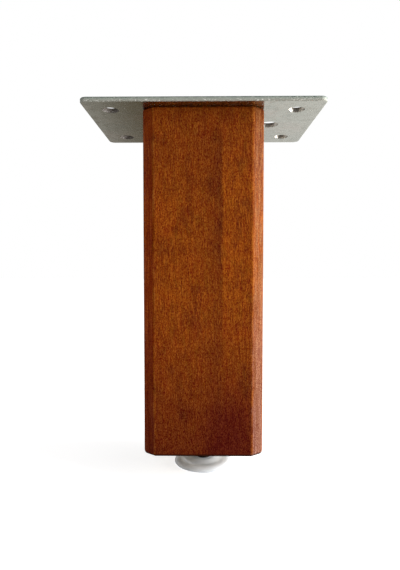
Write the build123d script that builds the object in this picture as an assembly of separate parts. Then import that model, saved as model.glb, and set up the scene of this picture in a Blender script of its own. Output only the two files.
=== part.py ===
from build123d import *

import math
import os

# Square wooden furniture leg with a steel mounting plate on top and a levelling foot below.
# Millimetres, +Z up. The origin is on the floor, under the middle of the foot pad.
# X runs along the plate's long side, Y along its short side.

# Leg post
leg_width = 52.0  # across opposite faces, the same both ways
leg_height = 150.0
leg_chamfer_front = 4.8  # cut off the front and back faces at the four upright corners
leg_chamfer_side = 3.5  # cut off the side faces there
leg_arris_radius = 2.0  # easing where a chamfer meets a face
leg_top_break = 0.6  # small flat round the top
leg_bottom_radius = 1.9

# Mounting plate
plate_length = 102.0
plate_width = 64.0
plate_thickness = 2.0
plate_corner_radius = 3.0
plate_edge_break = 0.3
fixing_hole_diameter = 7.0
fixing_hole_inset = 11.0  # hole centre from both edges of its corner
side_hole_diameter = 9.0
side_hole_gap = 0.3  # from the leg's face to the hole's edge

# Countersunk screws through the plate into the leg's end grain
screw_diameter = 4.6
screw_length = 40.0
screw_tip_length = 5.0
screw_tip_diameter = 1.2
screw_head_diameter = 8.6
screw_spacing = 28.0  # square pattern
screw_hole_clearance = 0.3  # in the plate, all round the shank
recess_span = 4.6  # cross recess in the head
recess_width = 0.9
recess_depth = 1.5

# Insert nut in the leg's bottom end
insert_diameter = 12.0
insert_length = 18.0
insert_flange_diameter = 17.0
insert_flange_thickness = 1.5

# Levelling stud
foot_drop = 12.5  # leg's underside above the floor at rest
thread_diameter = 8.0
thread_length = 30.0
thread_tip_chamfer = 1.0
collar_across_flats = 10.0
collar_height = 3.0
collar_chamfer = 0.8
collar_gap = 1.6  # pad's hub to the collar
neck_diameter = 6.0
head_diameter = 10.0
head_thickness = 1.1
foot_rise = 4.0  # how far the foot screws in from rest
stud_end_room = 4.0  # left above the stud when it is screwed in

# Foot pad
pad_diameter = 28.0
pad_floor = 0.7  # under the stud's head
pad_lip = 0.7  # over the stud's head
pad_hub_diameter = 11.0
pad_edge_height = 2.2  # where the slope from the hub meets the rounded edge
pad_edge_run = 3.6  # rounded edge, seen from above
pad_edge_turns = (0, 30, 60, 90)  # degrees round the edge's quarter ellipse, joined by flats
pad_girth_height = 0.5  # widest line above the floor
pad_foot_taper = 0.4  # in from the widest line to the underside

# Clearances, on the radius
fit_clearance = 0.03  # pieces that are driven in
thread_clearance = 0.05  # stud in the insert
drill_clearance = 0.6  # stud in the drilled hole beyond the insert
socket_clearance = 0.1  # stud's head in the pad

# Heights that follow
leg_bottom_z = foot_drop
leg_top_z = leg_bottom_z + leg_height
plate_top_z = leg_top_z + plate_thickness
head_bottom_z = pad_floor + socket_clearance
head_top_z = head_bottom_z + head_thickness
socket_top_z = head_top_z + socket_clearance
hub_top_z = socket_top_z + pad_lip
collar_bottom_z = hub_top_z + collar_gap
collar_top_z = collar_bottom_z + collar_height
stud_top_z = collar_top_z + thread_length


def turned(points):
    """Solid of revolution about Z from the (radius, height) corners of its half section."""
    outline = Polyline(*[(radius, 0, height) for radius, height in points], close=True)
    return revolve(make_face(outline.edges()), Axis.Z)


def screw_blank(clearance=0.0):
    """Countersunk screw without its recess, standing at the origin axis; grown, it is the hole for it."""
    head_radius = screw_head_diameter / 2 + clearance
    shank_radius = screw_diameter / 2 + clearance
    head_end_z = plate_top_z - (head_radius - shank_radius)
    tip_radius = screw_tip_diameter / 2 + clearance
    tip_z = plate_top_z - screw_length - clearance
    return turned(
        [
            (0, plate_top_z),
            (head_radius, plate_top_z),
            (shank_radius, head_end_z),
            (shank_radius, tip_z + screw_tip_length),
            (tip_radius, tip_z),
            (0, tip_z),
        ]
    )


def insert_blank(clearance=0.0):
    """Flanged insert without its bore, flush with the leg's underside; grown, it is the pocket for it."""
    body_radius = insert_diameter / 2 + clearance
    flange_radius = insert_flange_diameter / 2 + clearance
    flange_top_z = leg_bottom_z + insert_flange_thickness
    return turned(
        [
            (0, leg_bottom_z),
            (flange_radius, leg_bottom_z),
            (flange_radius, flange_top_z),
            (body_radius, flange_top_z),
            (body_radius, leg_bottom_z + insert_length),
            (0, leg_bottom_z + insert_length),
        ]
    )


def bore(diameter, bottom_z, top_z):
    """Round cutter on the leg's axis."""
    return Pos(0, 0, bottom_z) * extrude(Circle(diameter / 2), amount=top_z - bottom_z)


screw_places = GridLocations(screw_spacing, screw_spacing, 2, 2)


def make_leg_post():
    """Chamfered square post, pocketed below for the insert and stud and drilled above for the screws."""
    half = leg_width / 2
    front = half - leg_chamfer_front
    side = half - leg_chamfer_side
    section = Polygon(
        (front, half),
        (-front, half),
        (-half, side),
        (-half, -side),
        (-front, -half),
        (front, -half),
        (half, -side),
        (half, side),
        align=None,
    )
    section = fillet(section.vertices(), leg_arris_radius)
    post = Pos(0, 0, leg_bottom_z) * extrude(section, amount=leg_height)
    post = chamfer(post.faces().sort_by(Axis.Z)[-1].edges(), leg_top_break)
    post = fillet(post.faces().sort_by(Axis.Z)[0].edges(), leg_bottom_radius)
    drill_top_z = stud_top_z + foot_rise + stud_end_room
    post -= insert_blank(fit_clearance)
    post -= bore(thread_diameter + 2 * drill_clearance, leg_bottom_z, drill_top_z)
    post -= [place * screw_blank(fit_clearance) for place in screw_places]
    return post


def make_mounting_plate():
    """Flat plate with rounded corners, four fixing holes, one side hole and countersunk screw holes."""
    outline = RectangleRounded(plate_length, plate_width, plate_corner_radius)
    plate = Pos(0, 0, leg_top_z) * extrude(outline, amount=plate_thickness)
    plate = chamfer(plate.faces().filter_by(Plane.XY).edges(), plate_edge_break)
    fixing_spacing_x = plate_length - 2 * fixing_hole_inset
    fixing_spacing_y = plate_width - 2 * fixing_hole_inset
    side_hole_x = leg_width / 2 + side_hole_gap + side_hole_diameter / 2
    fixing_hole = bore(fixing_hole_diameter, leg_top_z, plate_top_z)
    side_hole = bore(side_hole_diameter, leg_top_z, plate_top_z)
    plate -= [place * fixing_hole for place in GridLocations(fixing_spacing_x, fixing_spacing_y, 2, 2)]
    plate -= Pos(side_hole_x, 0, 0) * side_hole
    plate -= [place * screw_blank(screw_hole_clearance) for place in screw_places]
    return plate


def make_plate_screws():
    """Four countersunk screws with a cross recess, heads flush with the plate's top."""
    recess = Box(recess_span, recess_width, recess_depth) + Box(recess_width, recess_span, recess_depth)
    screw = screw_blank() - Pos(0, 0, plate_top_z - recess_depth / 2) * recess
    return Compound(children=[place * screw for place in screw_places])


def make_threaded_insert():
    """Flanged insert nut with a plain bore that the stud's thread runs in."""
    bore_diameter = thread_diameter + 2 * thread_clearance
    return insert_blank() - bore(bore_diameter, leg_bottom_z, leg_bottom_z + insert_length)


def make_levelling_stud():
    """Stud with a button head for the pad's socket, a hexagon collar to turn it by and a thread."""
    head_radius = head_diameter / 2
    neck_radius = neck_diameter / 2
    thread_radius = thread_diameter / 2
    shaft = turned(
        [
            (0, head_bottom_z),
            (head_radius, head_bottom_z),
            (head_radius, head_top_z),
            (neck_radius, head_top_z),
            (neck_radius, collar_bottom_z),
            (thread_radius, collar_bottom_z),
            (thread_radius, stud_top_z - thread_tip_chamfer),
            (thread_radius - thread_tip_chamfer, stud_top_z),
            (0, stud_top_z),
        ]
    )
    hexagon = RegularPolygon(collar_across_flats / 2, 6, major_radius=False)
    corner_circle = Circle(collar_across_flats / 3**0.5)
    barrel = extrude(corner_circle, amount=collar_height)
    barrel = chamfer(barrel.edges(), collar_chamfer)
    collar = extrude(hexagon, amount=collar_height) & barrel
    return shaft + Pos(0, 0, collar_bottom_z) * collar


def make_foot_pad():
    """Low round pad that slopes from its hub to a rounded edge, with a socket that the stud's head turns in."""
    pad_radius = pad_diameter / 2
    edge_inner = pad_radius - pad_edge_run
    edge_rise = pad_edge_height - pad_girth_height
    mouth_radius = neck_diameter / 2 + socket_clearance
    socket_radius = head_diameter / 2 + socket_clearance
    edge = [
        (
            edge_inner + pad_edge_run * math.cos(math.radians(turn)),
            pad_girth_height + edge_rise * math.sin(math.radians(turn)),
        )
        for turn in pad_edge_turns
    ]
    return turned(
        [
            (0, 0),
            (pad_radius - pad_foot_taper, 0),
            *edge,
            (pad_hub_diameter / 2, hub_top_z),
            (mouth_radius, hub_top_z),
            (mouth_radius, socket_top_z),
            (socket_radius, socket_top_z),
            (socket_radius, pad_floor),
            (0, pad_floor),
        ]
    )


pieces = {
    "leg_post": make_leg_post(),
    "mounting_plate": make_mounting_plate(),
    "plate_screws": make_plate_screws(),
    "threaded_insert": make_threaded_insert(),
    "levelling_stud": make_levelling_stud(),
    "foot_pad": make_foot_pad(),
}

os.makedirs("parts", exist_ok=True)
for name, piece in pieces.items():
    export_step(piece, f"parts/{name}.step")
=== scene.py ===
"""Square stained-wood furniture leg with a zinc-plated mounting plate and a screw-adjusted foot."""

import logging
import math
from dataclasses import dataclass, field
from enum import Enum

import bmesh
import bpy
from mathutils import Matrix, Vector


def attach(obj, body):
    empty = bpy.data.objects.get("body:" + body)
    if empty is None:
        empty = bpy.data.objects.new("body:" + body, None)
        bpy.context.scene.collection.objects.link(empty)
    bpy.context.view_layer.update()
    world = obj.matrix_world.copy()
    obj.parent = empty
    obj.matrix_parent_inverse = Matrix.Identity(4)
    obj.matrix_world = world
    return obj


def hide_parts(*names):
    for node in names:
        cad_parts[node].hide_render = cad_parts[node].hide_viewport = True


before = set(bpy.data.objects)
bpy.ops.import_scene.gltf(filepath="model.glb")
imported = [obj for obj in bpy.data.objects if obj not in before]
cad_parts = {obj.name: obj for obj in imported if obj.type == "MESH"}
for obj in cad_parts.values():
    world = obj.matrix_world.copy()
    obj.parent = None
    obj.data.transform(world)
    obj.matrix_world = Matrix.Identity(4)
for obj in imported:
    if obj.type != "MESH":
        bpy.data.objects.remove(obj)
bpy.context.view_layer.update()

LOG = logging.getLogger("furniture_leg")
MM = 0.001  # metres in a millimetre
MERGE_DISTANCE = 0.0005 * MM  # corners of loose triangles closer than this are one corner
SMOOTH_ANGLE = math.radians(28.0)  # edges that turn more than this stay sharp
FLAT_NORMAL = 0.9  # a face whose normal is steeper than this lies flat
RIDGE_SIDES = 4  # corners of a thread's section
WHITE = "#FFFFFF"

# Sockets of the colour mix node, which shares its names between data types
MIX_FACTOR = 0
MIX_A = 6
MIX_B = 7
MIX_RESULT = 2

# Kinds of node that come often, and settings that they share
MATH = "ShaderNodeMath"
VECTOR = "ShaderNodeVectorMath"
RANGE = "ShaderNodeMapRange"
AXES = "ShaderNodeSeparateXYZ"
SOFT = {"interpolation_type": "SMOOTHSTEP"}
PLUS = {"operation": "ADD"}
MINUS = {"operation": "SUBTRACT"}
TIMES = {"operation": "MULTIPLY"}
TIMES_PLUS = {"operation": "MULTIPLY_ADD"}
OVER = {"operation": "DIVIDE"}
LARGER = {"operation": "MAXIMUM"}
SCALED = {"operation": "SCALE"}
LENGTH = {"operation": "LENGTH"}
DISTANCE = {"operation": "DISTANCE"}
ABSOLUTE = {"operation": "ABSOLUTE"}

Colour = tuple[float, float, float, float]
Triple = tuple[float, float, float]
Window = tuple[float, float]
Point = tuple[float, float]
Tree = bpy.types.NodeTree
Source = bpy.types.Node | bpy.types.NodeSocket  # a node stands for its first output
Material = bpy.types.Material

LEVEL: Triple = (1.0, 1.0, 0.0)  # keeps X and Y of a place and drops its height
TWICE_AS_TALL: Triple = (1.0, 1.0, 2.0)
BLACK: Triple = (0.0, 0.0, 0.0)


class Body(Enum):
    """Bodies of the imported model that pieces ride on."""

    LEG = "leg"
    FOOT = "foot"
    STUD = "stud"


class Slot(Enum):
    """Record slots named for the new pieces' finishes."""

    WOOD = "stained_wood"
    PLATE = "zinc_plate"
    SCREW = "zinc_screw"
    STUD = "dark_stud"
    PAD = "white_pad"


class PlateFinish(Enum):
    """Material slots of the plate's own mesh."""

    ROLLED_FACE = 0
    SHEARED_EDGE = 1
    PUNCHED_HOLE = 2
    # walls of the holes left of the post, darker as painted shade
    SHADED_HOLE = 3


def linear(hex_colour: str) -> Colour:
    """Turn an sRGB colour into linear light.

    Args:
        hex_colour: Six hex digits after a hash sign.

    Returns:
        Linear red, green, blue and an alpha of one.
    """
    channels = [int(hex_colour[start : start + 2], 16) / 255 for start in (1, 3, 5)]
    red, green, blue = [c / 12.92 if c <= 0.04045 else ((c + 0.055) / 1.055) ** 2.4 for c in channels]
    return red, green, blue, 1.0


def add_node(
    tree: Tree,
    kind: str,
    settings: dict[str, object] | None = None,
    inputs: dict[str | int, object] | None = None,
) -> bpy.types.Node:
    """Add one node with its settings and links.

    Args:
        tree: Tree that gets the node.
        kind: Blender's name for the type of node.
        settings: Properties of the node.
        inputs: What goes into its sockets, by name or number. A source is linked, a list of them is
            linked to one socket in turn, and anything else is set as the value.

    Returns:
        The new node.
    """
    node = tree.nodes.new(kind)
    for name, value in (settings or {}).items():
        setattr(node, name, value)
    for key, value in (inputs or {}).items():
        for source in value if isinstance(value, list) else [value]:
            if isinstance(source, bpy.types.Node):
                tree.links.new(source.outputs[0], node.inputs[key])
            elif isinstance(source, bpy.types.NodeSocket):
                tree.links.new(source, node.inputs[key])
            else:
                node.inputs[key].default_value = source
    return node


def between(limits: Window, shift: float = 0.0) -> dict[str, float]:
    """Values that a map range node turns into its least and its most.

    Args:
        limits: The two values.
        shift: What is added to both.

    Returns:
        Inputs of the node.
    """
    return {"From Min": limits[0] + shift, "From Max": limits[1] + shift}


def new_material(name: str) -> tuple[Material, Tree]:
    """Make an empty node material.

    Args:
        name: What the real material is.

    Returns:
        The material and its tree.
    """
    material = bpy.data.materials.new(name)
    material.use_nodes = True
    material.node_tree.nodes.clear()
    return material, material.node_tree


def dress(tree: Tree, inputs: dict[str, object]) -> None:
    """End a material with one shader.

    Args:
        tree: Material tree.
        inputs: What goes into the shader's sockets, by name.
    """
    shader = add_node(tree, "ShaderNodeBsdfPrincipled", None, inputs)
    add_node(tree, "ShaderNodeOutputMaterial", None, {"Surface": shader})


def millimetres(tree: Tree) -> Source:
    """Object coordinates in millimetres, so that a pattern's sizes are real ones.

    Args:
        tree: Material tree.

    Returns:
        Place on the piece.
    """
    place = add_node(tree, "ShaderNodeTexCoord")
    return add_node(tree, VECTOR, SCALED, {0: place.outputs["Object"], "Scale": 1 / MM})


@dataclass(frozen=True)
class Pattern:
    """Soft random marks of a real size."""

    size_mm: Triple  # of one mark along X, Y and Z
    window: Window  # noise values where the marks start and are full
    detail: float = 2.0  # how many finer layers the noise has
    roughness: float = 0.55  # how strong the finer layers are


def speckle(tree: Tree, place: Source, pattern: Pattern) -> Source:
    """Spread a pattern's marks over a surface.

    Args:
        tree: Material tree.
        place: Place on the piece in millimetres.
        pattern: Size and density of the marks.

    Returns:
        Source that is 0 between the marks and 1 in them.
    """
    cells = add_node(tree, VECTOR, OVER, {0: place, 1: pattern.size_mm})
    noise = add_node(tree, "ShaderNodeTexNoise", None, {
        "Vector": cells, "Scale": 1.0, "Detail": pattern.detail, "Roughness": pattern.roughness
    })
    return add_node(tree, RANGE, SOFT, {"Value": noise, **between(pattern.window)})


def tint(tree: Tree, under: object, over: str, marks: Source, strength: float) -> Source:
    """Lay a colour over another where marks show.

    Args:
        tree: Material tree.
        under: Colour that is covered.
        over: Colour of the marks.
        marks: Source from 0 to 1.
        strength: Cover of a full mark.

    Returns:
        Mixed colour.
    """
    share = add_node(tree, MATH, TIMES, {0: marks, 1: strength})
    mixed = add_node(tree, "ShaderNodeMix", {"data_type": "RGBA"}, {
        MIX_FACTOR: share, MIX_A: under, MIX_B: linear(over)
    })
    return mixed.outputs[MIX_RESULT]


def shimmer(
    tree: Tree, under: object, marks: Source, depth: Triple, white: float, where: object = 1.0
) -> Source:
    """Make a colour lighter in marks and darker between them, with little change of its mean.

    Args:
        tree: Material tree.
        under: Colour that is varied.
        marks: Source from 0 to 1.
        depth: Largest change of red, green and blue as a share of each.
        white: Largest change of all three alike, so that light marks are paler.
        where: Number or source from 0, for no change, to 1.

    Returns:
        Varied colour.
    """
    swing = add_node(tree, RANGE, None, {"Value": marks, "To Min": -1.0, "To Max": 1.0})
    share = add_node(tree, MATH, TIMES, {0: swing, 1: where})
    change = add_node(tree, VECTOR, TIMES_PLUS, {0: under, 1: depth, 2: (white,) * 3})
    scaled = add_node(tree, VECTOR, SCALED, {0: change, "Scale": share})
    varied = add_node(tree, VECTOR, PLUS, {0: under, 1: scaled})
    return add_node(tree, VECTOR, LARGER, {0: varied, 1: BLACK})


def gloss_rays(tree: Tree, rays: bpy.types.Node) -> Source:
    """Rays that leave a glossy or clear surface.

    Args:
        tree: Tree of a world or a floor.
        rays: Its light path node.

    Returns:
        Source that is 1 for such a ray.
    """
    kinds = {0: rays.outputs["Is Glossy Ray"], 1: rays.outputs["Is Transmission Ray"]}
    return add_node(tree, MATH, LARGER, kinds)


@dataclass(frozen=True)
class MarkLayer:
    """Marks of one colour in a surface."""

    colour: str
    pattern: Pattern
    strength: float

    def laid_on(self, tree: Tree, place: Source, under: object) -> Source:
        """Lay the marks over a colour.

        Args:
            tree: Material tree.
            place: Place on the piece in millimetres.
            under: Colour that is covered.

        Returns:
            New colour.
        """
        return tint(tree, under, self.colour, speckle(tree, place, self.pattern), self.strength)


@dataclass(frozen=True)
class StainBlotch:
    """A place where the wood drank more stain."""

    colour: str
    centre_mm: Triple
    reach_mm: Triple
    strength: float
    edge: Window = (1.0, 0.1)  # shares of the reach where it starts and is full


@dataclass(frozen=True)
class EndDarkening:
    """Colour that darkens towards an end of the post; near the top it is painted shade under the plate.
    """

    colour: str
    heights_mm: Window  # where it starts and is full
    strength: float


@dataclass(frozen=True)
class StainedBeech:
    """Beech, planed and sanded, under a reddish-brown stain and a satin clear coat.

    The eye sees fine flecks along the grain, soft upright bands from the growth rings, a stain that is
    deeper in patches, rubbed corners, long lines of grain on the chamfers, a dark rounded lower edge and
    a raw sawn lower end. The colour also darkens towards both ends, which near the top is painted shade
    under the plate; the left chamfers carry painted shade, redder, and the right ones a painted sheen in
    streaks, pinker low down as a painted reflection.
    """

    arrises_mm: tuple[Point, ...]  # X and Y of one corner's upright edges, the front face's first
    stain: str = "#843E01"
    layers: tuple[MarkLayer, ...] = (
        MarkLayer("#924002", Pattern((12.0, 12.0, 16.0), (0.45, 0.70)), 0.55),
        MarkLayer("#4C1601", Pattern((9.0, 9.0, 18.0), (0.48, 0.72)), 0.50),
        MarkLayer("#460500", Pattern((0.40, 0.40, 9.0), (0.42, 0.68)), 0.42),
        MarkLayer("#801000", Pattern((1.8, 1.8, 8.0), (0.50, 0.70)), 0.18),
        MarkLayer("#7E4A00", Pattern((2.4, 2.4, 7.0), (0.50, 0.70)), 0.26),
        MarkLayer("#AE5A10", Pattern((0.32, 0.32, 4.0), (0.46, 0.68)), 0.56),
    )

    # Growth rings
    pith_mm: Point = (-14.0, 90.0)  # X and Y of the rings' middle, behind the post
    ring_width_mm: float = 6.0
    ring_edge_mm: float = 118.19  # from the pith to the ring's edge that crosses the front face
    sway_mm: float = 0.6  # how far a ring's edge wanders
    sway_cells_mm: Triple = (40.0, 40.0, 60.0)  # length of one swing
    sway_detail: float = 4.0
    late_wood: str = "#441601"
    late_strength: float = 0.66
    late_power: float = 4.0  # the higher, the later in the ring its dark wood comes
    late_end: Window = (1.0, 0.95)  # shares of the ring over which its dark wood stops
    early_wood: str = "#984805"
    early_strength: float = 0.20
    early_end: Window = (0.06, 0.0)  # shares of the ring over which its pale start fades
    rings_clear_mm: Window = (55.0, 105.0)  # heights over which the rings come out
    rings_close_mm: Window = (156.0, 142.0)  # heights near the top over which they come out, downwards
    rings_faint: float = 0.3  # how much they show elsewhere

    # Real flecks are finer than a pixel, so these are as coarse as they need to be to show. Their size
    # doesn't divide the distance from the axis to a face, where the noise would be flat.
    flecks: Pattern = Pattern((0.242, 0.242, 0.58), (0.30, 0.70))
    fleck_depth: Triple = (0.42, 0.72, 0.70)  # shares of red, green and blue that they add or take
    fleck_white: float = 0.007  # light that they add or take in all three alike

    # Uneven stain
    blotches: tuple[StainBlotch, ...] = (
        StainBlotch("#480000", (12.0, -26.0, 24.0), (18.0, 9.0, 29.0), 0.64),
        StainBlotch("#440C02", (-8.0, -26.0, 32.0), (4.5, 8.0, 7.0), 0.30),
    )
    # Darker towards both ends; the upper one is painted shade under the plate
    falls: tuple[EndDarkening, ...] = (
        EndDarkening("#420300", (82.0, 14.0), 0.66),
        EndDarkening("#481601", (122.0, 148.0), 0.26),
    )

    # Chamfers: painted shade on the left, a painted sheen and a painted reflection on the right
    # painted shade: the redder colour that the left chamfers show away from the lamp
    shaded_side: str = "#A42C02"
    shaded_mm: Window = (-20.6, -22.0)  # X where it starts and is full
    shaded_strength: float = 0.32
    # painted sheen: the pale glow of the right chamfers that face the lamp, in streaks
    painted_sheen: str = "#8A552E"
    painted_sheen_mm: Window = (20.6, 22.4)  # the same on the right
    painted_sheen_strength: float = 0.85
    painted_sheen_streaks: Pattern = Pattern((0.5, 0.5, 8.0), (0.38, 0.60))
    painted_low_reflection: str = "#8E604E"  # painted reflection, pinker, on the lower end of the sheen side
    painted_low_reflection_mm: Window = (95.0, 14.0)  # heights where it starts and is full
    painted_low_reflection_strength: float = 0.9
    wave: Pattern = Pattern((3.0, 3.0, 9.0), (0.2, 0.8))
    wave_mm: float = 1.6  # how far the edge of these tints wanders
    side_face_mm: Window = (-0.8, 0.2)  # from a side face's arris, where these tints stop
    lines: Pattern = Pattern((0.5, 0.5, 20.0), (0.30, 0.70))
    line_depth: Triple = (0.20, 0.31, 0.44)  # how much lighter or darker the lines are
    line_edge_mm: Window = (-0.9, 0.3)  # from the front face's arris, where the lines start and are full

    # Rubbed arrises
    rubbed: str = "#A0561A"
    rubbed_mm: Window = (0.9, 0.1)  # from an arris, where the rubbing starts and is full
    rubbed_strength: float = 0.75
    rubbed_patches: Pattern = Pattern((2.0, 2.0, 9.0), (0.38, 0.62))

    # Lower end, by the upward part of the surface's normal
    end_edge: str = "#230802"
    end_edge_turn: Window = (-0.05, -0.7)
    end_edge_strength: float = 0.85
    end_grain: str = "#CDBBA0"
    end_grain_turn: Window = (-0.93, -0.99)
    end_grain_strength: float = 0.9

    # Coat
    pores: Pattern = Pattern((0.45, 0.45, 4.0), (0.45, 0.70))
    pore_depth_mm: float = 0.06
    pore_strength: float = 0.2
    roughness: float = 0.55
    specular: float = 0.05

    def build(self) -> Material:
        """Make the material.

        Returns:
            Material for the post.
        """
        material, tree = new_material("stained_beech")
        place = millimetres(tree)
        colour = linear(self.stain)
        for layer in self.layers:
            colour = layer.laid_on(tree, place, colour)
        colour = self._rings(tree, place, colour)
        colour = self._painted_light_and_wear(tree, place, colour)
        for blotch in self.blotches:
            colour = tint(tree, colour, blotch.colour, self._cover(tree, place, blotch), blotch.strength)
        flecks = speckle(tree, place, self.flecks)
        colour = shimmer(tree, colour, flecks, self.fleck_depth, self.fleck_white)
        colour = self._corner_lines(tree, place, colour)
        colour = self._ends(tree, colour)
        bump = add_node(tree, "ShaderNodeBump", {"invert": True}, {
            "Strength": self.pore_strength,
            "Distance": self.pore_depth_mm * MM,
            "Height": speckle(tree, place, self.pores),
        })
        dress(tree, {
            "Base Color": colour,
            "Roughness": self.roughness,
            "Specular IOR Level": self.specular,
            "Normal": bump,
        })
        return material

    def _rings(self, tree: Tree, place: Source, colour: Source) -> Source:
        """Shade growth rings round a pith behind the post, wide on its front and narrow on its sides.

        Args:
            tree: Material tree.
            place: Place on the piece in millimetres.
            colour: Colour of the wood with its marks.

        Returns:
            New colour.
        """
        phase = self._ring_phase(tree, place)
        shown = self._ring_strength(tree, place)
        dense = add_node(tree, MATH, {"operation": "POWER"}, {0: phase, 1: self.late_power})
        late_end = add_node(tree, RANGE, SOFT, {"Value": phase, **between(self.late_end)})
        late = add_node(tree, MATH, TIMES, {0: dense, 1: late_end})
        early = add_node(tree, RANGE, SOFT, {"Value": phase, **between(self.early_end)})
        late_shown = add_node(tree, MATH, TIMES, {0: late, 1: shown})
        early_shown = add_node(tree, MATH, TIMES, {0: early, 1: shown})
        colour = tint(tree, colour, self.late_wood, late_shown, self.late_strength)
        return tint(tree, colour, self.early_wood, early_shown, self.early_strength)

    def _ring_phase(self, tree: Tree, place: Source) -> Source:
        """How far through its growth ring a place is.

        Args:
            tree: Material tree.
            place: Place on the piece in millimetres.

        Returns:
            Source from 0 at the ring's pale start to 1 at its dark end.
        """
        cells = add_node(tree, VECTOR, OVER, {0: place, 1: self.sway_cells_mm})
        sway = add_node(tree, "ShaderNodeTexNoise", None, {
            "Vector": cells, "Scale": 1.0, "Detail": self.sway_detail
        })
        flat = add_node(tree, VECTOR, TIMES, {0: place, 1: LEVEL})
        from_pith = add_node(tree, VECTOR, DISTANCE, {0: flat, 1: (*self.pith_mm, 0.0)})
        swayed = add_node(tree, MATH, TIMES_PLUS, {
            0: sway, 1: self.sway_mm, 2: from_pith.outputs["Value"]
        })
        from_edge = add_node(tree, MATH, MINUS, {0: swayed, 1: self.ring_edge_mm + self.sway_mm / 2})
        rings = add_node(tree, MATH, OVER, {0: from_edge, 1: self.ring_width_mm})
        return add_node(tree, MATH, {"operation": "FRACT"}, {0: rings})

    def _ring_strength(self, tree: Tree, place: Source) -> Source:
        """How clearly the rings show at a height: most in the upper half, little at the very top.

        Args:
            tree: Material tree.
            place: Place on the piece in millimetres.

        Returns:
            Source from faint to 1.
        """
        axes = add_node(tree, AXES, None, {0: place})
        above = add_node(tree, RANGE, None, {
            "Value": axes.outputs["Z"], **between(self.rings_clear_mm), "To Min": self.rings_faint
        })
        return add_node(tree, RANGE, None, {
            "Value": axes.outputs["Z"],
            **between(self.rings_close_mm),
            "To Min": self.rings_faint,
            "To Max": above,
        })

    def _cover(self, tree: Tree, place: Source, blotch: StainBlotch) -> Source:
        """Cover of one blotch.

        Args:
            tree: Material tree.
            place: Place on the piece in millimetres.
            blotch: Where it is and how far it reaches.

        Returns:
            Source that falls from 1 at its middle to 0 at its reach.
        """
        away = add_node(tree, VECTOR, MINUS, {0: place, 1: blotch.centre_mm})
        scaled = add_node(tree, VECTOR, OVER, {0: away, 1: blotch.reach_mm})
        distance = add_node(tree, VECTOR, LENGTH, {0: scaled})
        return add_node(tree, RANGE, SOFT, {"Value": distance.outputs["Value"], **between(blotch.edge)})

    def _painted_light_and_wear(self, tree: Tree, place: Source, colour: Source) -> Source:
        """Lay painted shade on the left chamfers and a painted sheen and reflection on the right ones,
        darken towards both ends, with painted shade under the plate near the top, and rub the corners.

        Args:
            tree: Material tree.
            place: Place on the piece in millimetres.
            colour: Colour of the ringed wood.

        Returns:
            New colour.
        """
        axes = add_node(tree, AXES, None, {0: place})
        shaded, sheen_cover = self._chamfers(tree, place)
        # painted shade on the left chamfers
        colour = tint(tree, colour, self.shaded_side, shaded, self.shaded_strength)
        # darker towards both ends, with painted shade under the plate near the top
        for fall in self.falls:
            deep = add_node(tree, RANGE, None, {"Value": axes.outputs["Z"], **between(fall.heights_mm)})
            colour = tint(tree, colour, fall.colour, deep, fall.strength)
        # painted sheen on the right chamfers, in streaks
        streaky = speckle(tree, place, self.painted_sheen_streaks)
        streaks = add_node(tree, MATH, TIMES, {0: sheen_cover, 1: streaky})
        colour = tint(tree, colour, self.painted_sheen, streaks, self.painted_sheen_strength)
        # painted reflection, pinker, on the lower part of the right chamfers
        low = add_node(tree, RANGE, None, {"Value": axes.outputs["Z"], **between(self.painted_low_reflection_mm)})
        low_reflection_cover = add_node(tree, MATH, TIMES, {0: sheen_cover, 1: low})
        colour = tint(tree, colour, self.painted_low_reflection, low_reflection_cover, self.painted_low_reflection_strength)
        return self._rubbed_arrises(tree, place, colour)

    def _chamfers(self, tree: Tree, place: Source) -> list[Source]:
        """Cover of the painted shade on the left chamfers and of the painted sheen on the right ones,
        with a wavy edge towards the front and back faces.

        Args:
            tree: Material tree.
            place: Place on the piece in millimetres.

        Returns:
            Sources that are 1 on the left chamfers and on the right ones.
        """
        axes = add_node(tree, AXES, None, {0: place})
        one_corner = add_node(tree, VECTOR, ABSOLUTE, {0: place})
        folded = add_node(tree, AXES, None, {0: one_corner})
        side_arris = self.arrises_mm[1][1]
        off_side_face = add_node(tree, RANGE, SOFT, {
            "Value": folded.outputs["Y"], **between(self.side_face_mm, side_arris)
        })
        wave = speckle(tree, place, self.wave)
        waving = add_node(tree, MATH, TIMES_PLUS, {0: wave, 1: self.wave_mm, 2: axes.outputs["X"]})
        return [
            add_node(tree, RANGE, SOFT, {
                "Value": waving, **between(reach, self.wave_mm / 2), "To Max": off_side_face
            })
            for reach in (self.shaded_mm, self.painted_sheen_mm)
        ]

    def _rubbed_arrises(self, tree: Tree, place: Source, colour: Source) -> Source:
        """Rub the upright edges paler, in patches.

        Args:
            tree: Material tree.
            place: Place on the piece in millimetres.
            colour: Colour of the stained faces.

        Returns:
            New colour.
        """
        one_corner = add_node(tree, VECTOR, ABSOLUTE, {0: place})
        section = add_node(tree, VECTOR, TIMES, {0: one_corner, 1: LEVEL})
        patchy = speckle(tree, place, self.rubbed_patches)
        for arris in self.arrises_mm:
            distance = add_node(tree, VECTOR, DISTANCE, {0: section, 1: (*arris, 0.0)})
            near = add_node(tree, RANGE, SOFT, {
                "Value": distance.outputs["Value"], **between(self.rubbed_mm)
            })
            worn = add_node(tree, MATH, TIMES, {0: near, 1: patchy})
            colour = tint(tree, colour, self.rubbed, worn, self.rubbed_strength)
        return colour

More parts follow.
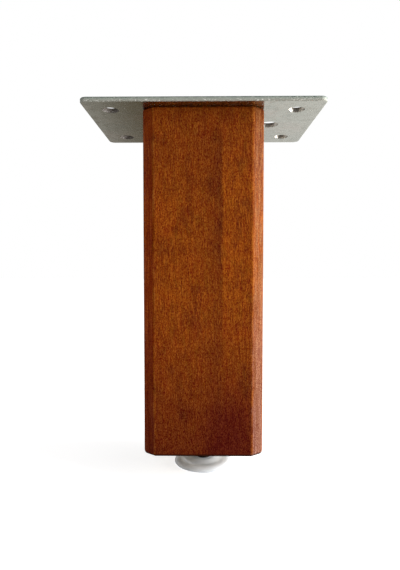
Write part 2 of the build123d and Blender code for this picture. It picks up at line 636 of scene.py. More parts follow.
    def _corner_lines(self, tree: Tree, place: Source, colour: Source) -> Source:
        """Draw long light and dark lines on the chamfers, where the cut runs at a slant to the rings.

        Args:
            tree: Material tree.
            place: Place on the piece in millimetres.
            colour: Colour of the stained faces.

        Returns:
            New colour.
        """
        front_arris = sum(self.arrises_mm[0])
        one_corner = add_node(tree, VECTOR, ABSOLUTE, {0: place})
        outward = add_node(tree, VECTOR, {"operation": "DOT_PRODUCT"}, {0: one_corner, 1: LEVEL})
        chamfer = add_node(tree, RANGE, SOFT, {
            "Value": outward.outputs["Value"], **between(self.line_edge_mm, front_arris)
        })
        lines = speckle(tree, place, self.lines)
        return shimmer(tree, colour, lines, self.line_depth, self.fleck_white, chamfer)

    def _ends(self, tree: Tree, colour: Source) -> Source:
        """Darken the rounded lower edge, where end grain drinks stain, and leave the sawn lower end raw.

        Args:
            tree: Material tree.
            colour: Colour of the stained faces.

        Returns:
            New colour.
        """
        facing = add_node(tree, "ShaderNodeTexCoord")
        normal = add_node(tree, AXES, None, {0: facing.outputs["Normal"]})
        for over, turn, strength in (
            (self.end_edge, self.end_edge_turn, self.end_edge_strength),
            (self.end_grain, self.end_grain_turn, self.end_grain_strength),
        ):
            down = add_node(tree, RANGE, SOFT, {"Value": normal.outputs["Z"], **between(turn)})
            colour = tint(tree, colour, over, down, strength)
        return colour


@dataclass(frozen=True)
class PlatedSteel:
    """Zinc-plated or oiled steel: a metal with faint cloudy spangle and, where given, stained patches."""

    name: str
    colour: str
    cloud: str
    roughness: float
    patches: tuple[MarkLayer, ...] = ()
    clouds: Pattern = Pattern((3.0, 3.0, 3.0), (0.4, 0.7), detail=4.0)
    cloud_strength: float = 0.6
    cloud_roughness: float = 0.1  # how much duller the clouds are

    def build(self) -> Material:
        """Make the material.

        Returns:
            Metal material.
        """
        material, tree = new_material(self.name)
        place = millimetres(tree)
        clouds = speckle(tree, place, self.clouds)
        colour = tint(tree, linear(self.colour), self.cloud, clouds, self.cloud_strength)
        for patch in self.patches:
            colour = patch.laid_on(tree, place, colour)
        rough = add_node(tree, RANGE, None, {
            "Value": clouds, "To Min": self.roughness, "To Max": self.roughness + self.cloud_roughness
        })
        dress(tree, {"Base Color": colour, "Metallic": 1.0, "Roughness": rough})
        return material


@dataclass(frozen=True)
class ShearedEdge:
    """Edge of zinc-plated sheet as the shear or the punch left it.

    The eye sees three bands: a dark rolled-over line at the top, a dull middle with paler specks, and a
    brighter lower band with torn white burrs.
    """

    name: str
    bottom_mm: float
    top_mm: float
    middle: str = "#999F95"
    rolled: str = "#4E5D57"
    torn: str = "#A6A59A"
    burr: str = "#DEDDD6"
    fleck: str = "#C0CABB"
    metallic: float = 0.3
    roughness: float = 0.7
    ragged: Pattern = Pattern((1.6, 1.6, 3.0), (0.2, 0.8))
    ragged_mm: float = 0.35  # how far the bands' edges wander
    ragged_middle_mm: float = 0.17  # about half of that, which keeps the bands in place
    flecks: Pattern = Pattern((0.8, 0.8, 0.6), (0.56, 0.68))
    fleck_strength: float = 0.7
    torn_share: Window = (0.5, 0.35)  # shares of the thickness where the torn band starts and is full
    torn_strength: float = 0.8
    burrs: Pattern = Pattern((0.9, 0.9, 0.5), (0.56, 0.64))
    burr_strength: float = 0.9
    rolled_share: Window = (0.72, 0.86)  # the same for the rolled-over line
    rolled_strength: float = 0.9

    def build(self) -> Material:
        """Make the material.

        Returns:
            Metal material.
        """
        material, tree = new_material(self.name)
        place = millimetres(tree)
        lower, upper = self._bands(tree, place)
        flecks = speckle(tree, place, self.flecks)
        colour = tint(tree, linear(self.middle), self.fleck, flecks, self.fleck_strength)
        colour = tint(tree, colour, self.torn, lower, self.torn_strength)
        burrs = speckle(tree, place, self.burrs)
        low_burrs = add_node(tree, MATH, TIMES, {0: burrs, 1: lower})
        colour = tint(tree, colour, self.burr, low_burrs, self.burr_strength)
        colour = tint(tree, colour, self.rolled, upper, self.rolled_strength)
        dress(tree, {"Base Color": colour, "Metallic": self.metallic, "Roughness": self.roughness})
        return material

    def _bands(self, tree: Tree, place: Source) -> list[Source]:
        """Cover of the torn band below and of the rolled-over line above.

        Args:
            tree: Material tree.
            place: Place on the piece in millimetres.

        Returns:
            Sources that are 1 in the torn band and in the rolled-over line.
        """
        axes = add_node(tree, AXES, None, {0: place})
        ragged = speckle(tree, place, self.ragged)
        height = add_node(tree, MATH, TIMES_PLUS, {0: ragged, 1: self.ragged_mm, 2: axes.outputs["Z"]})
        share = add_node(tree, RANGE, None, {
            "Value": height, **between((self.bottom_mm, self.top_mm), self.ragged_middle_mm)
        })
        return [
            add_node(tree, RANGE, SOFT, {"Value": share, **between(reach)})
            for reach in (self.torn_share, self.rolled_share)
        ]


@dataclass(frozen=True)
class MouldedPlastic:
    """White polyethylene, injection moulded: smooth and a little glossy, with faint flow clouds."""

    colour: str = "#F1F5FA"
    cloud: str = "#E3E8EE"
    clouds: Pattern = Pattern((5.0, 5.0, 2.0), (0.4, 0.75), detail=3.0)
    cloud_strength: float = 0.5
    roughness: float = 0.22
    ior: float = 1.51

    def build(self) -> Material:
        """Make the material.

        Returns:
            Plastic material.
        """
        material, tree = new_material("moulded_white_polyethylene")
        clouds = speckle(tree, millimetres(tree), self.clouds)
        colour = tint(tree, linear(self.colour), self.cloud, clouds, self.cloud_strength)
        dress(tree, {"Base Color": colour, "Roughness": self.roughness, "IOR": self.ior})
        return material


def merged_copy(node: str) -> bmesh.types.BMesh:
    """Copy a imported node's mesh with its loose triangles merged.

    Args:
        node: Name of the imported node.

    Returns:
        Closed shape.
    """
    shape = bmesh.new()
    shape.from_mesh(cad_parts[node].data)
    bmesh.ops.remove_doubles(shape, verts=shape.verts, dist=MERGE_DISTANCE)
    return shape


def piece_from(shape: bmesh.types.BMesh, name: str) -> bpy.types.Object:
    """Turn a finished shape into a piece with smooth rounds and flat faces.

    Args:
        shape: Closed shape with outward faces; it is freed.
        name: Name of the new piece.

    Returns:
        New object at the origin.
    """
    mesh = bpy.data.meshes.new(name)
    shape.to_mesh(mesh)
    shape.free()
    custom = mesh.attributes.get("custom_normal")
    if custom is not None:
        mesh.attributes.remove(custom)
    mesh.materials.clear()
    piece = bpy.data.objects.new(name, mesh)
    bpy.context.scene.collection.objects.link(piece)
    smooth_rounds(piece)
    return piece


def smooth_rounds(piece: bpy.types.Object) -> None:
    """Shade a piece smooth on its rounds, sharp at its corners and flat on its flats.

    Args:
        piece: Object with a plain mesh.
    """
    piece.data.shade_smooth()
    piece.data.set_sharp_from_angle(angle=SMOOTH_ANGLE)
    weighted = piece.modifiers.new("flat_faces_stay_flat", "WEIGHTED_NORMAL")
    weighted.keep_sharp = True
    bake_modifiers(piece)


def bake_modifiers(piece: bpy.types.Object) -> None:
    """Make a piece's evaluated shape its own plain mesh.

    Args:
        piece: Object whose modifiers are baked and removed.
    """
    bpy.context.view_layer.update()
    evaluated = piece.evaluated_get(bpy.context.evaluated_depsgraph_get())
    mesh = bpy.data.meshes.new_from_object(evaluated)
    piece.modifiers.clear()
    piece.data = mesh
    mesh.name = piece.name


def install(piece: bpy.types.Object, body: Body, slot: Slot, *nodes: str) -> None:
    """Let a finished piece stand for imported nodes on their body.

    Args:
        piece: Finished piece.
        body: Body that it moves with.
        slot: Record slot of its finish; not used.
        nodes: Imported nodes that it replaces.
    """
    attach(piece, body.value)
    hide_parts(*nodes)
    LOG.info("%s: %d faces on %s", piece.name, len(piece.data.polygons), body.value)


class ShapeTree:
    """A Geometry Nodes tree with named sizes, baked into a plain mesh."""

    def __init__(self, name: str, sizes_mm: dict[str, float]) -> None:
        """Start a tree with one input for each size.

        Args:
            name: Name of the tree and of the piece that it makes.
            sizes_mm: Name and value of each size in millimetres.
        """
        self.name = name
        self.sizes_mm = sizes_mm
        self.tree = bpy.data.node_groups.new(name, "GeometryNodeTree")
        self.tree.interface.new_socket("Geometry", in_out="OUTPUT", socket_type="NodeSocketGeometry")
        self.tree.interface.new_socket("Geometry", in_out="INPUT", socket_type="NodeSocketGeometry")
        for size in sizes_mm:
            self.tree.interface.new_socket(size, in_out="INPUT", socket_type="NodeSocketFloat")
        self.tree.interface.new_socket("Material", in_out="INPUT", socket_type="NodeSocketMaterial")
        self.given = add_node(self.tree, "NodeGroupInput").outputs

    def lifted(self, geometry: Source, height: Source) -> Source:
        """Raise a shape.

        Args:
            geometry: Shape to move.
            height: How far up it goes.

        Returns:
            Moved shape.
        """
        shift = add_node(self.tree, "ShaderNodeCombineXYZ", None, {"Z": height})
        moved = add_node(self.tree, "GeometryNodeTransform", None, {
            "Geometry": geometry, "Translation": shift
        })
        return moved

    def bar(self, sides: int, lower: str, upper: str, length: str, height: Source) -> Source:
        """Round bar, straight or tapered, that stands at a height.

        Args:
            sides: Flats that make it round.
            lower: Name of the size that is its lower radius.
            upper: Name of the size that is its upper radius.
            length: Name of the size that is its length.
            height: Where its lower end is.

        Returns:
            Closed bar.
        """
        upright = add_node(self.tree, "GeometryNodeMeshCone", None, {
            "Vertices": sides,
            "Radius Top": self.given[upper],
            "Radius Bottom": self.given[lower],
            "Depth": self.given[length],
        })
        return self.lifted(upright, height)

    def thread(self, steps: int, height: Source) -> Source:
        """Right-hand screw thread, from the sizes of the tree that are named for it.

        Args:
            steps: Points in one turn.
            height: Where its lower end is.

        Returns:
            Closed ridge.
        """
        radius, rise = self.given["Thread Radius"], self.given["Thread Length"]
        turns = add_node(self.tree, MATH, OVER, {0: rise, 1: self.given["Pitch"]})
        helix = add_node(self.tree, "GeometryNodeCurveSpiral", None, {
            "Resolution": steps,
            "Rotations": turns,
            "Start Radius": radius,
            "End Radius": radius,
            "Height": rise,
            "Reverse": True,
        })
        upright = add_node(self.tree, "GeometryNodeSetCurveNormal", {"mode": "Z_UP"}, {"Curve": helix})
        diamond = add_node(self.tree, "GeometryNodeCurvePrimitiveCircle", None, {
            "Resolution": RIDGE_SIDES, "Radius": self.given["Thread Ridge"]
        })
        swept = add_node(self.tree, "GeometryNodeCurveToMesh", None, {
            "Curve": upright, "Profile Curve": diamond, "Fill Caps": True
        })
        return self.lifted(swept, height)

    def fused(self, *solids: Source) -> Source:
        """Fuse overlapping solids into one skin.

        Args:
            solids: Closed shapes that meet or overlap.

        Returns:
            One closed shape without inner faces.
        """
        union = add_node(
            self.tree,
            "GeometryNodeMeshBoolean",
            {"operation": "UNION", "solver": "EXACT"},
            {"Mesh 2": list(solids)},
        )
        return union

    def bake(
        self, geometry: Source, material: Material, start: bpy.types.Object | None = None
    ) -> bpy.types.Object:
        """End the tree, run it and keep its result.

        Args:
            geometry: What the tree makes.
            material: Finish of all of it.
            start: Piece that the tree works on, or none for an empty one.

        Returns:
            Object with a plain mesh.
        """
        real = add_node(self.tree, "GeometryNodeRealizeInstances", None, {"Geometry": geometry})
        dressed = add_node(self.tree, "GeometryNodeSetMaterial", None, {
            "Geometry": real, "Material": self.given["Material"]
        })
        add_node(self.tree, "NodeGroupOutput", None, {"Geometry": dressed})
        if start is None:
            start = bpy.data.objects.new(self.name, bpy.data.meshes.new(self.name))
            bpy.context.scene.collection.objects.link(start)
        modifier = start.modifiers.new(self.name, "NODES")
        modifier.node_group = self.tree
        for socket in self.tree.interface.items_tree:
            if socket.in_out == "INPUT" and socket.name in self.sizes_mm:
                modifier[socket.identifier] = self.sizes_mm[socket.name] * MM
            elif socket.in_out == "INPUT" and socket.name == "Material":
                modifier[socket.identifier] = material
        bake_modifiers(start)
        start.data.materials.clear()
        start.data.materials.append(material)
        start.data.polygons.foreach_set("material_index", [0] * len(start.data.polygons))
        smooth_rounds(start)
        return start


@dataclass
class Post:
    """The wooden post."""

    half_width_mm: float = 26.0
    chamfer_front_mm: float = 4.8
    chamfer_side_mm: float = 3.5

    def build(self) -> None:
        """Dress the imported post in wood."""
        post = piece_from(merged_copy("leg_post"), "stained_post")
        half = self.half_width_mm
        arrises = ((half - self.chamfer_front_mm, half), (half, half - self.chamfer_side_mm))
        post.data.materials.append(StainedBeech(arrises).build())
        install(post, Body.LEG, Slot.WOOD, "leg_post")


@dataclass
class PlateAssembly:
    """The mounting plate with its screws."""

    bottom_mm: float = 162.5
    top_mm: float = 164.5
    half_length_mm: float = 51.0
    half_width_mm: float = 32.0
    edge_reach_mm: float = 3.0  # an upright face nearer than this to the outline is part of the edge
    plate_patches: tuple[MarkLayer, ...] = (
        MarkLayer("#C8BBAF", Pattern((14.0, 14.0, 14.0), (0.46, 0.72)), 0.34),
        MarkLayer("#A0A398", Pattern((8.0, 8.0, 8.0), (0.48, 0.74)), 0.38),
    )
    screw_mm: dict[str, float] = field(
        default_factory=lambda: {
            "Head Radius": 4.3,
            "Shank Radius": 2.3,
            "Head Depth": 2.0,
            "Plain Length": 10.0,
            "Core Radius": 1.65,
            "Thread Length": 23.0,
            "Thread Radius": 1.75,
            "Thread Ridge": 0.52,
            "Pitch": 2.2,
            "Tip Length": 5.0,
            "Tip Radius": 0.6,
            "Recess Span": 4.6,
            "Recess Width": 0.9,
            "Recess Depth": 1.5,
            "Spacing": 28.0,
        }
    )
    head_sides: int = 48  # flats that make a round
    shank_sides: int = 32
    core_sides: int = 24
    thread_steps: int = 20  # points in one turn

    def build(self) -> None:
        """Dress the plate and make the screws."""
        self._plate()
        self._screws()

    def _plate(self) -> None:
        """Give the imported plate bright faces, sheared edges and punched holes."""
        plate = piece_from(merged_copy("mounting_plate"), "mounting_plate_skin")
        finishes = {
            PlateFinish.ROLLED_FACE: PlatedSteel(
                "zinc_plated_steel", "#B8B8AC", "#ACACA0", 0.24, self.plate_patches
            ),
            PlateFinish.SHEARED_EDGE: ShearedEdge("sheared_zinc_edge", self.bottom_mm, self.top_mm),
            PlateFinish.PUNCHED_HOLE: ShearedEdge(
                "punched_zinc_wall",
                self.bottom_mm,
                self.top_mm,
                middle="#B4ACA0",
                rolled="#8C857A",
                torn="#C4C2BA",
                burr="#DAD8D2",
                fleck="#C4BEB2",
                metallic=1.0,
                roughness=0.35,
            ),
            # painted shade: darker walls for the holes left of the post, where they face the dark wood
            PlateFinish.SHADED_HOLE: ShearedEdge(
                "punched_wall_painted_shade",
                self.bottom_mm,
                self.top_mm,
                middle="#5E564E",
                rolled="#474038",
                torn="#77706A",
                burr="#A8A49E",
                fleck="#80787A",
            ),
        }
        for finish in PlateFinish:
            plate.data.materials.append(finishes[finish].build())
        for face in plate.data.polygons:
            face.material_index = self._finish_of(face).value
        install(plate, Body.LEG, Slot.PLATE, "mounting_plate")

    def _finish_of(self, face: bpy.types.MeshPolygon) -> PlateFinish:
        """Finish of one face of the plate.

        Args:
            face: Face of the plate's mesh.

        Returns:
            Rolled face, sheared edge, or a punched hole, whose walls left of the post carry painted
            shade.
        """
        if abs(face.normal.z) > FLAT_NORMAL:
            return PlateFinish.ROLLED_FACE
        inset_x = self.half_length_mm - abs(face.center.x) / MM
        inset_y = self.half_width_mm - abs(face.center.y) / MM
        if min(inset_x, inset_y) < self.edge_reach_mm:
            return PlateFinish.SHEARED_EDGE
        return PlateFinish.PUNCHED_HOLE if face.center.x > 0.0 else PlateFinish.SHADED_HOLE

    def _screws(self) -> None:
        """Make one countersunk screw and set four of them in the plate."""
        shape = ShapeTree("countersunk_screws", {"Top": self.top_mm, **self.screw_mm})
        levels = []
        level = shape.given["Top"]
        for length in ("Head Depth", "Plain Length", "Thread Length", "Tip Length"):
            level = add_node(shape.tree, MATH, MINUS, {0: level, 1: shape.given[length]})
            levels.append(level)
        head_z, plain_z, core_z, tip_z = levels
        screw = shape.fused(
            shape.lifted(self._screw_head(shape), head_z),
            shape.bar(self.shank_sides, "Shank Radius", "Shank Radius", "Plain Length", plain_z),
            shape.bar(self.core_sides, "Core Radius", "Core Radius", "Thread Length", core_z),
            shape.thread(self.thread_steps, core_z),
            shape.bar(self.core_sides, "Tip Radius", "Core Radius", "Tip Length", tip_z),
        )
        spacing = shape.given["Spacing"]
        places = add_node(shape.tree, "GeometryNodeMeshGrid", None, {
            "Size X": spacing, "Size Y": spacing, "Vertices X": 2, "Vertices Y": 2
        })
        set_in = add_node(shape.tree, "GeometryNodeInstanceOnPoints", None, {
            "Points": places, "Instance": screw
        })
        finish = PlatedSteel("bright_zinc_screw", "#C8C9C5", "#B4B5B0", 0.28)
        install(shape.bake(set_in, finish.build()), Body.LEG, Slot.SCREW, "plate_screws")

    def _screw_head(self, shape: ShapeTree) -> Source:
        """Countersunk head with a cross recess, standing at the origin's level.

        Args:
            shape: Tree of the screws.

        Returns:
            Closed head.
        """
        tree, given = shape.tree, shape.given
        head = add_node(tree, "GeometryNodeMeshCone", None, {
            "Vertices": self.head_sides,
            "Radius Top": given["Head Radius"],
            "Radius Bottom": given["Shank Radius"],
            "Depth": given["Head Depth"],
        })
        cutters = []
        for across, along in (("Recess Span", "Recess Width"), ("Recess Width", "Recess Span")):
            size = add_node(tree, "ShaderNodeCombineXYZ", None, {
                "X": given[across], "Y": given[along], "Z": given["Recess Depth"]
            })
            # The upper half stands above the head
            doubled = add_node(tree, VECTOR, TIMES, {0: size, 1: TWICE_AS_TALL})
            cutter = add_node(tree, "GeometryNodeMeshCube", None, {"Size": doubled})
            cutters.append(shape.lifted(cutter, given["Head Depth"]))
        cut = add_node(tree, "GeometryNodeMeshBoolean", {"operation": "DIFFERENCE", "solver": "EXACT"}, {
            "Mesh 1": head, "Mesh 2": cutters
        })
        return cut


@dataclass
class LevellingFoot:
    """Insert, stud and pad."""

    collar_top_mm: float = 7.3
    shoulder_mm: float = 0.3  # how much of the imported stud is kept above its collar
    stud_thread_mm: dict[str, float] = field(
        default_factory=lambda: {
            "Core Radius": 3.3,
            "Core Length": 29.0,
            "Tip Length": 1.0,
            "Tip Radius": 2.9,
            "Thread Start": 8.1,
            "Thread Length": 27.5,
            "Thread Radius": 3.40,
            "Thread Ridge": 0.56,
            "Pitch": 1.25,
        }
    )
    stud_sides: int = 64  # flats that make a round
    thread_steps: int = 48  # points in one turn
    pad_radius_mm: float = 14.0
    pad_girth_mm: float = 0.5  # widest line above the floor
    pad_foot_taper_mm: float = 0.4  # how much further in the pad meets the floor
    pad_edge_run_mm: float = 3.0  # width of the rounded edge
    pad_edge_height_mm: float = 2.2
    ring_radius_mm: float = 8.8  # deepest line of the shallow ring round the hub
    ring_height_mm: float = 2.05
    hub_radius_mm: float = 4.6
    hub_height_mm: float = 2.7
    mouth_radius_mm: float = 3.1  # hole that the stud's neck goes through
    socket_radius_mm: float = 5.1  # hollow that the stud's head turns in
    socket_top_mm: float = 2.0
    pad_floor_mm: float = 0.7
    pad_steps: int = 128  # round the axis
    curve_steps: int = 14  # along each curve of the section

    def build(self) -> None:
        """Dress the insert and make the stud and pad."""
        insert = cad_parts["threaded_insert"]
        insert.data.materials[0] = PlatedSteel("zinc_plated_insert", "#B0B0A8", "#9A9A90", 0.35).build()
        LOG.info("%s: keeps its packed mesh on %s", insert.name, Body.LEG.value)
        self._stud()
        self._pad()

    def _stud(self) -> None:
        """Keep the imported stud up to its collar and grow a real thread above."""
        lower = merged_copy("levelling_stud")
        cut_z = (self.collar_top_mm + self.shoulder_mm) * MM
        bmesh.ops.bisect_plane(
            lower,
            geom=[*lower.verts, *lower.edges, *lower.faces],
            plane_co=(0.0, 0.0, cut_z),
            plane_no=(0.0, 0.0, 1.0),
            clear_outer=True,
        )
        bmesh.ops.holes_fill(lower, edges=[edge for edge in lower.edges if edge.is_boundary], sides=0)
        stud = piece_from(lower, "threaded_stud")
        shape = ShapeTree("stud_thread", {"Collar Top": self.collar_top_mm, **self.stud_thread_mm})
        given = shape.given
        tip_z = add_node(shape.tree, MATH, PLUS, {0: given["Collar Top"], 1: given["Core Length"]})
        whole = shape.fused(
            given["Geometry"],
            shape.bar(self.stud_sides, "Core Radius", "Core Radius", "Core Length", given["Collar Top"]),
            shape.bar(self.stud_sides, "Core Radius", "Tip Radius", "Tip Length", tip_z),
            shape.thread(self.thread_steps, given["Thread Start"]),
        )
        finish = PlatedSteel("oiled_steel", "#3A3632", "#282420", 0.36)
        install(shape.bake(whole, finish.build(), stud), Body.STUD, Slot.STUD, "levelling_stud")

    def _pad(self) -> None:
        """Turn the pad from its half section."""
        shape = bmesh.new()
        section = self._pad_section()
        points = [shape.verts.new((radius * MM, 0.0, height * MM)) for radius, height in section]
        edges = [shape.edges.new(pair) for pair in zip(points, points[1:])]
        bmesh.ops.spin(
            shape,
            geom=[*points, *edges],
            axis=(0.0, 0.0, 1.0),
            cent=(0.0, 0.0, 0.0),
            steps=self.pad_steps,
            angle=math.tau,
            use_merge=True,
        )
        bmesh.ops.remove_doubles(shape, verts=shape.verts, dist=MERGE_DISTANCE)
        bmesh.ops.recalc_face_normals(shape, faces=shape.faces)
        pad = piece_from(shape, "white_pad_skin")
        pad.data.materials.append(MouldedPlastic().build())
        install(pad, Body.FOOT, Slot.PAD, "foot_pad")

    def _pad_section(self) -> list[Point]:
        """Half section of the pad: a rounded edge, a shallow ring, then a soft rise to the hub.

        Returns:
            Radius and height of each point in millimetres, from the axis below to the axis inside.
        """
        edge_inner = self.pad_radius_mm - self.pad_edge_run_mm
        edge_rise = self.pad_edge_height_mm - self.pad_girth_mm
        shares = [step / self.curve_steps for step in range(self.curve_steps + 1)]
        edge = [
            (
                edge_inner + self.pad_edge_run_mm * math.cos(share * math.pi / 2),
                self.pad_girth_mm + edge_rise * math.sin(share * math.pi / 2),
            )
            for share in shares
        ]
        crest = (edge_inner, self.pad_edge_height_mm)
        ring = (self.ring_radius_mm, self.ring_height_mm)
        hub = (self.hub_radius_mm, self.hub_height_mm)
        waves = [
            (
                start[0] + (end[0] - start[0]) * share,
                start[1] + (end[1] - start[1]) * (1 - math.cos(share * math.pi)) / 2,
            )
            for start, end in ((crest, ring), (ring, hub))
            for share in shares[1:]
        ]
        return [
            (0.0, 0.0),
            (self.pad_radius_mm - self.pad_foot_taper_mm, 0.0),
            *edge,
            *waves,
            (self.mouth_radius_mm, self.hub_height_mm),
            (self.mouth_radius_mm, self.socket_top_mm),
            (self.socket_radius_mm, self.socket_top_mm),
            (self.socket_radius_mm, self.pad_floor_mm),
            (0.0, self.pad_floor_mm),
        ]


@dataclass
class Studio:
    """Camera, lamp, world and floor. Lengths are in metres unless their name says millimetres."""

    # Camera
    camera_mm: Triple = (1.0, -222.5, 95.8)
    yaw: float = -0.0122  # radians to the right
    pitch: float = -0.043  # radians upwards
    lens_mm: float = 29.13
    sensor_mm: float = 36.0
    nearest: float = 0.01  # nothing nearer to the camera is drawn

    # Soft key lamp
    key_place: Triple = (0.80, -0.18, 0.27)
    key_aim: Triple = (0.0, 0.0, 0.09)
    key_size: tuple[float, float] = (0.5, 0.9)
    key_watts: float = 16.4

    # World
    ambient: float = 0.65
    wall_slope: Window = (0.0, 0.7)  # upward share of a ray's way over which the walls get dimmer
    wall_levels: Window = (1.6, 0.5)  # shares of the ambient light, below and above
    side_light: float = 0.75  # how much brighter the right is than the front, and the left dimmer
    room: float = 0.14  # what gloss shows of the room
    backdrop_slope: Window = (-0.35, 0.1)  # backward share of a ray's way where gloss shows the backdrop

    # Paper floor
    floor_size: float = 6.0
    floor_gap_mm: float = 0.05  # under the pad
    contact_mm: float = 0.4  # the floor is clear to shorter rays, so the pad's underside gets light
    paper: str = "#E0E0E0"
    paper_reach: Window = (0.15, 0.7)  # from the leg, between which the paper's own light grows
    paper_glow: Window = (0.72, 0.80)  # that light near the leg and far from it, for the camera
    gloss_glow: float = 0.27  # the paper's own light as gloss shows it
    painted_gloss_shade: str = "#5E4A0C"  # painted shade where gloss shows the floor unlit, tinted brown as a painted reflection of the wood

    # Where gloss shows the floor lit: Y of the back's start and end, X of the rest
    lit_back: Window = (-0.05, 0.15)
    lit_middle: Window = (-0.08, 0.06)
    lit_middle_least: float = 0.05
    lit_far_left: Window = (-0.09, -0.21)
    lit_far_left_most: float = 0.6
    lit_right: Window = (0.03, 0.25)

    def build(self) -> None:
        """Set up the whole studio."""
        self._camera()
        self._key()
        self._world()
        self._floor()
        bpy.context.scene.view_settings.view_transform = "Standard"

    def _camera(self) -> None:
        """Place the camera."""
        data = bpy.data.cameras.new("photo_camera")
        data.lens = self.lens_mm
        data.sensor_width = self.sensor_mm
        data.clip_start = self.nearest
        camera = bpy.data.objects.new("photo_camera", data)
        camera.location = Vector(self.camera_mm) * MM
        forward = Vector(
            (
                math.sin(self.yaw) * math.cos(self.pitch),
                math.cos(self.yaw) * math.cos(self.pitch),
                math.sin(self.pitch),
            )
        )
        camera.rotation_mode = "QUATERNION"
        camera.rotation_quaternion = forward.to_track_quat("-Z", "Y")
        bpy.context.scene.collection.objects.link(camera)
        bpy.context.scene.camera = camera

    def _key(self) -> None:
        """Hang the soft key lamp on the right."""
        data = bpy.data.lights.new("window_lamp", "AREA")
        data.shape = "RECTANGLE"
        data.size, data.size_y = self.key_size
        data.energy = self.key_watts
        lamp = bpy.data.objects.new("window_lamp", data)
        lamp.location = self.key_place
        aim = Vector(self.key_aim) - Vector(self.key_place)
        lamp.rotation_mode = "QUATERNION"
        lamp.rotation_quaternion = aim.to_track_quat("-Z", "Y")
        bpy.context.scene.collection.objects.link(lamp)

    def _world(self) -> None:
        """Light the room dimly, with a white backdrop behind the leg."""
        world = bpy.data.worlds.new("studio_world")
        world.use_nodes = True
        tree = world.node_tree
        tree.nodes.clear()
        rays = add_node(tree, "ShaderNodeLightPath")
        shiny = gloss_rays(tree, rays)
        way = add_node(tree, "ShaderNodeTexCoord")
        parts = add_node(tree, AXES, None, {0: way.outputs["Generated"]})
        behind = add_node(tree, RANGE, SOFT, {
            "Value": parts.outputs["Y"], **between(self.backdrop_slope)
        })
        mirrored = add_node(tree, MATH, TIMES, {0: shiny, 1: behind})
        shown = add_node(tree, MATH, LARGER, {0: mirrored, 1: rays.outputs["Is Camera Ray"]})
        walls = add_node(tree, RANGE, None, {
            "Value": parts.outputs["Z"],
            **between(self.wall_slope),
            "To Min": self.ambient * self.wall_levels[0],
            "To Max": self.ambient * self.wall_levels[1],
        })
        sides = add_node(tree, MATH, TIMES_PLUS, {0: parts.outputs["X"], 1: self.side_light, 2: 1.0})
        sided = add_node(tree, MATH, TIMES, {0: walls, 1: sides})
        level = add_node(tree, RANGE, None, {"Value": shiny, "To Min": sided, "To Max": self.room})
        room = add_node(tree, "ShaderNodeBackground", None, {"Color": linear(WHITE), "Strength": level})
        backdrop = add_node(tree, "ShaderNodeBackground", None, {"Color": linear(WHITE), "Strength": 1.0})
        mixed = add_node(tree, "ShaderNodeMixShader", None, {0: shown, 1: room, 2: backdrop})
        add_node(tree, "ShaderNodeOutputWorld", None, {"Surface": mixed})
        bpy.context.scene.world = world

    def _unlit(self, tree: Tree, place: Source) -> Source:
        """Part of the floor that gloss shows dark: before the leg and, less so, behind it on the left.

        Args:
            tree: Floor material tree.
            place: Place on the floor.

        Returns:
            Source from 0 where the floor is lit to 1 where it is dark.
        """
        parts = add_node(tree, AXES, None, {0: place})
        back, middle, far_left, right = (
            add_node(tree, RANGE, SOFT, {
                "Value": parts.outputs[axis], **between(reach), "To Min": least, "To Max": most
            })
            for axis, reach, least, most in (
                ("Y", self.lit_back, 0.0, 1.0),
                ("X", self.lit_middle, self.lit_middle_least, 1.0),
                ("X", self.lit_far_left, 0.0, self.lit_far_left_most),
                ("X", self.lit_right, 0.0, 1.0),
            )
        )
        across = add_node(tree, MATH, PLUS, {0: middle, 1: far_left})
        backdrop = add_node(tree, MATH, TIMES, {0: back, 1: across})
        shown = add_node(tree, MATH, LARGER, {0: backdrop, 1: right})
        return add_node(tree, MATH, MINUS, {0: 1.0, 1: shown})

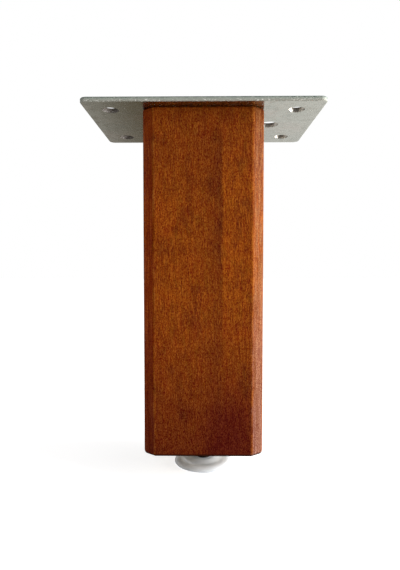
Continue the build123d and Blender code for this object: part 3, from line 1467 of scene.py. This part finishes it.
    def _floor(self) -> None:
        """Lay the paper floor under the pad."""
        shape = bmesh.new()
        bmesh.ops.create_grid(shape, x_segments=1, y_segments=1, size=self.floor_size / 2)
        bmesh.ops.translate(shape, verts=shape.verts, vec=(0.0, 0.0, -self.floor_gap_mm * MM))
        mesh = bpy.data.meshes.new("paper_floor")
        shape.to_mesh(mesh)
        shape.free()
        mesh.materials.append(self._paper())
        floor = bpy.data.objects.new("paper_floor", mesh)
        bpy.context.scene.collection.objects.link(floor)

    def _paper(self) -> Material:
        """White paper that keeps a faint shadow and is clear from below.

        Returns:
            Material for the floor.
        """
        material, tree = new_material("white_paper")
        rays = add_node(tree, "ShaderNodeLightPath")
        shiny = gloss_rays(tree, rays)
        place = add_node(tree, "ShaderNodeTexCoord").outputs["Object"]
        away = add_node(tree, VECTOR, LENGTH, {0: place})
        level = add_node(tree, RANGE, None, {
            "Value": away.outputs["Value"],
            **between(self.paper_reach),
            "To Min": self.paper_glow[0],
            "To Max": self.paper_glow[1],
        })
        seen = add_node(tree, MATH, TIMES, {0: rays.outputs["Is Camera Ray"], 1: level})
        glow = add_node(tree, MATH, TIMES_PLUS, {0: shiny, 1: self.gloss_glow, 2: seen})
        white = add_node(tree, "ShaderNodeEmission", None, {"Color": linear(WHITE), "Strength": glow})
        paper = add_node(tree, "ShaderNodeBsdfDiffuse", None, {"Color": linear(self.paper)})
        lit = add_node(tree, "ShaderNodeAddShader", None, {0: white, 1: paper})
        dark = add_node(tree, "ShaderNodeBsdfDiffuse", None, {"Color": linear(self.painted_gloss_shade)})
        unlit = add_node(tree, MATH, TIMES, {0: shiny, 1: self._unlit(tree, place)})
        top = add_node(tree, "ShaderNodeMixShader", None, {0: unlit, 1: lit, 2: dark})
        touching = add_node(tree, MATH, {"operation": "LESS_THAN"}, {
            0: rays.outputs["Ray Length"], 1: self.contact_mm * MM
        })
        under = add_node(tree, "ShaderNodeNewGeometry")
        through = add_node(tree, MATH, LARGER, {0: under.outputs["Backfacing"], 1: touching})
        clear = add_node(tree, "ShaderNodeBsdfTransparent")
        surface = add_node(tree, "ShaderNodeMixShader", None, {0: through, 1: top, 2: clear})
        add_node(tree, "ShaderNodeOutputMaterial", None, {"Surface": surface})
        return material


def main() -> None:
    """Build the leg from the post outwards, then the studio."""
    logging.basicConfig(level=logging.INFO)
    for assembly in (Post(), PlateAssembly(), LevellingFoot(), Studio()):
        assembly.build()


if __name__ == "__main__":
    main()
